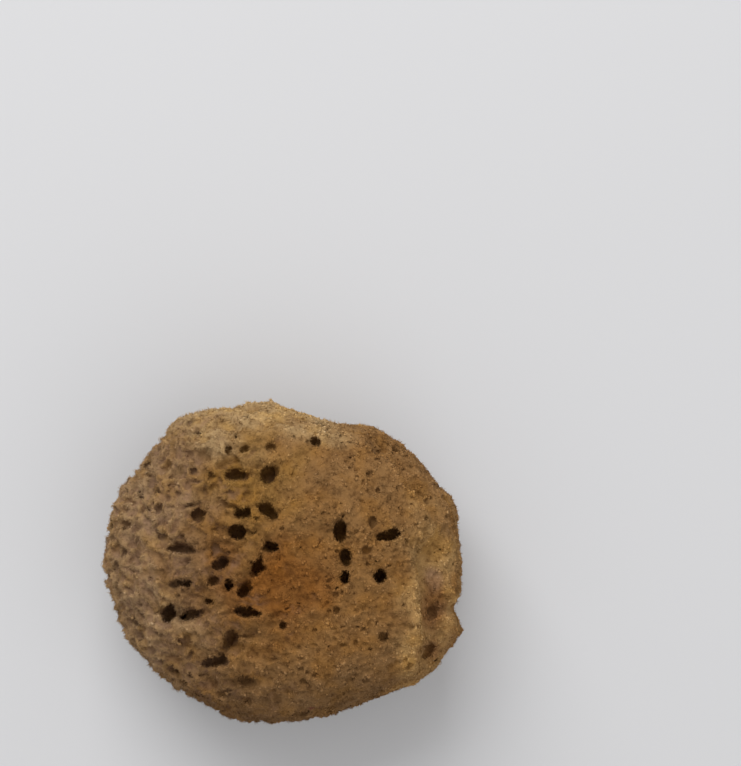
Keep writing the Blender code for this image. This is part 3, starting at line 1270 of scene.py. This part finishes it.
@dataclass(frozen=True)
class FibreFinish(SponginFinish):
    """The coats' finish: each fibre or knot has a shade of its own and is paler toward its end."""

    lit: Triple = (1.16, 1.24, 1.42)
    shaded: Triple = (0.62, 0.58, 0.54)
    lighter: Ramp = Ramp(0.4, 1.0, 0.8)
    darker: Ramp = Ramp(0.4, 0.0, 0.6)
    root_light: float = 0.3

    def dressed(self, shader: bpy.types.Node, colour: Wire) -> Wire:
        """Adds the shades of the fibres.

        Args:
            shader: The material's shader, which stays as it is.
            colour: The sponge's colour.

        Returns:
            The fibres' colour.
        """
        tree = colour.tree
        shade, along = marked(tree, "shade"), marked(tree, "along")
        lit = colour.vector("MULTIPLY", self.lit)
        shaded = colour.vector("MULTIPLY", self.shaded)
        colour = mixed(tree, self.lighter.of(shade) * (along + self.root_light), colour, lit)
        return mixed(tree, self.darker.of(shade), colour, shaded)


# The picture


@dataclass(frozen=True)
class Lamp:
    """A square light that faces the sponge: its place and side in metres and its power in watts."""

    name: str
    place: Triple
    side: float
    power: float

    def build(self) -> None:
        """Hangs the light."""
        light = bpy.data.lights.new(self.name, "AREA")
        light.size = self.side
        light.energy = self.power
        holder = linked(self.name, light)
        holder.location = self.place
        holder.rotation_euler = (-Vector(self.place)).to_track_quat("-Z", "Y").to_euler()


@dataclass(frozen=True)
class Studio:
    """Floor, lights, soft room and camera."""

    floor_size: float = 4.0
    paper: Triple = (0.54, 0.54, 0.55)
    paper_roughness: float = 0.9
    lamps: tuple[Lamp, ...] = (
        Lamp("key", (-0.25, 0.9, 0.95), 1.0, 14.4),
        Lamp("fill", (0.5, -0.5, 1.1), 1.4, 4.0),
    )
    room: Triple = (1.0, 1.0, 1.0)
    room_light: float = 0.61
    eye: Triple = (0.0231, 0.0481, 0.775)
    lens: float = 130.6
    sensor: float = 36.0
    nearest: float = 0.01

    def build(self) -> None:
        """Makes the floor, the lights, the room and the camera."""
        self.floor()
        for lamp in self.lamps:
            lamp.build()
        world = bpy.data.worlds.new("soft room")
        world.use_nodes = True
        sky = world.node_tree.nodes["Background"]
        sky.inputs["Color"].default_value = (*self.room, 1.0)
        sky.inputs["Strength"].default_value = self.room_light
        bpy.context.scene.world = world
        bpy.context.scene.view_settings.view_transform = "Standard"
        camera = bpy.data.cameras.new("camera")
        camera.lens = self.lens
        camera.sensor_width = self.sensor
        camera.clip_start = self.nearest
        seat = linked("camera", camera)
        seat.location = self.eye
        bpy.context.scene.camera = seat

    def floor(self) -> None:
        """Lays the paper that the sponge rests on."""
        shape = bmesh.new()
        bmesh.ops.create_grid(shape, x_segments=1, y_segments=1, size=self.floor_size / 2)
        mesh = bpy.data.meshes.new("floor")
        shape.to_mesh(mesh)
        shape.free()
        paper = bpy.data.materials.new("paper")
        paper.use_nodes = True
        shader = paper.node_tree.nodes["Principled BSDF"]
        shader.inputs["Base Color"].default_value = (*self.paper, 1.0)
        shader.inputs["Roughness"].default_value = self.paper_roughness
        mesh.materials.append(paper)
        linked("floor", mesh)


def main() -> None:
    """Builds the sponge and its studio."""
    logging.basicConfig(level=logging.INFO, format="%(name)s %(relativeCreated)d ms: %(message)s")
    Studio().build()
    colours = SponginColour().group()
    matted = MattedFinish("spongin_body").build(colours)
    fuzzy = FibreFinish("spongin_fibres").build(colours)
    body = SpongeBody().build()
    pieces = [body]
    coats = (
        Knots("felt_knots", 19_000, seed=2, sunk=0.35, rim=0.15, west=0.25, east=1.6),
        Fibres("tufts_short", 18_500, seed=3, sunk=0.25, length=(0.45, 0.95), thickness=0.21, lift=0.55),
        Fibres(
            "tufts_long", 18_500, seed=4, sunk=0.25, east=0.4, length=(0.7, 1.4), thickness=0.18, lift=0.7,
        ),
        Fibres("strands", 9_500, seed=5, sunk=0.25, habit=Habit.STRAND, length=(0.9, 2.4), thickness=0.15),
    )
    for coat in coats:
        pieces.append(coat.build(body))
    body.data.materials.append(matted)
    for piece in pieces[1:]:
        piece.data.materials.append(fuzzy)
    for piece in pieces:
        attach(piece, BODY)
    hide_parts(NODE)


if __name__ == "__main__":
    main()
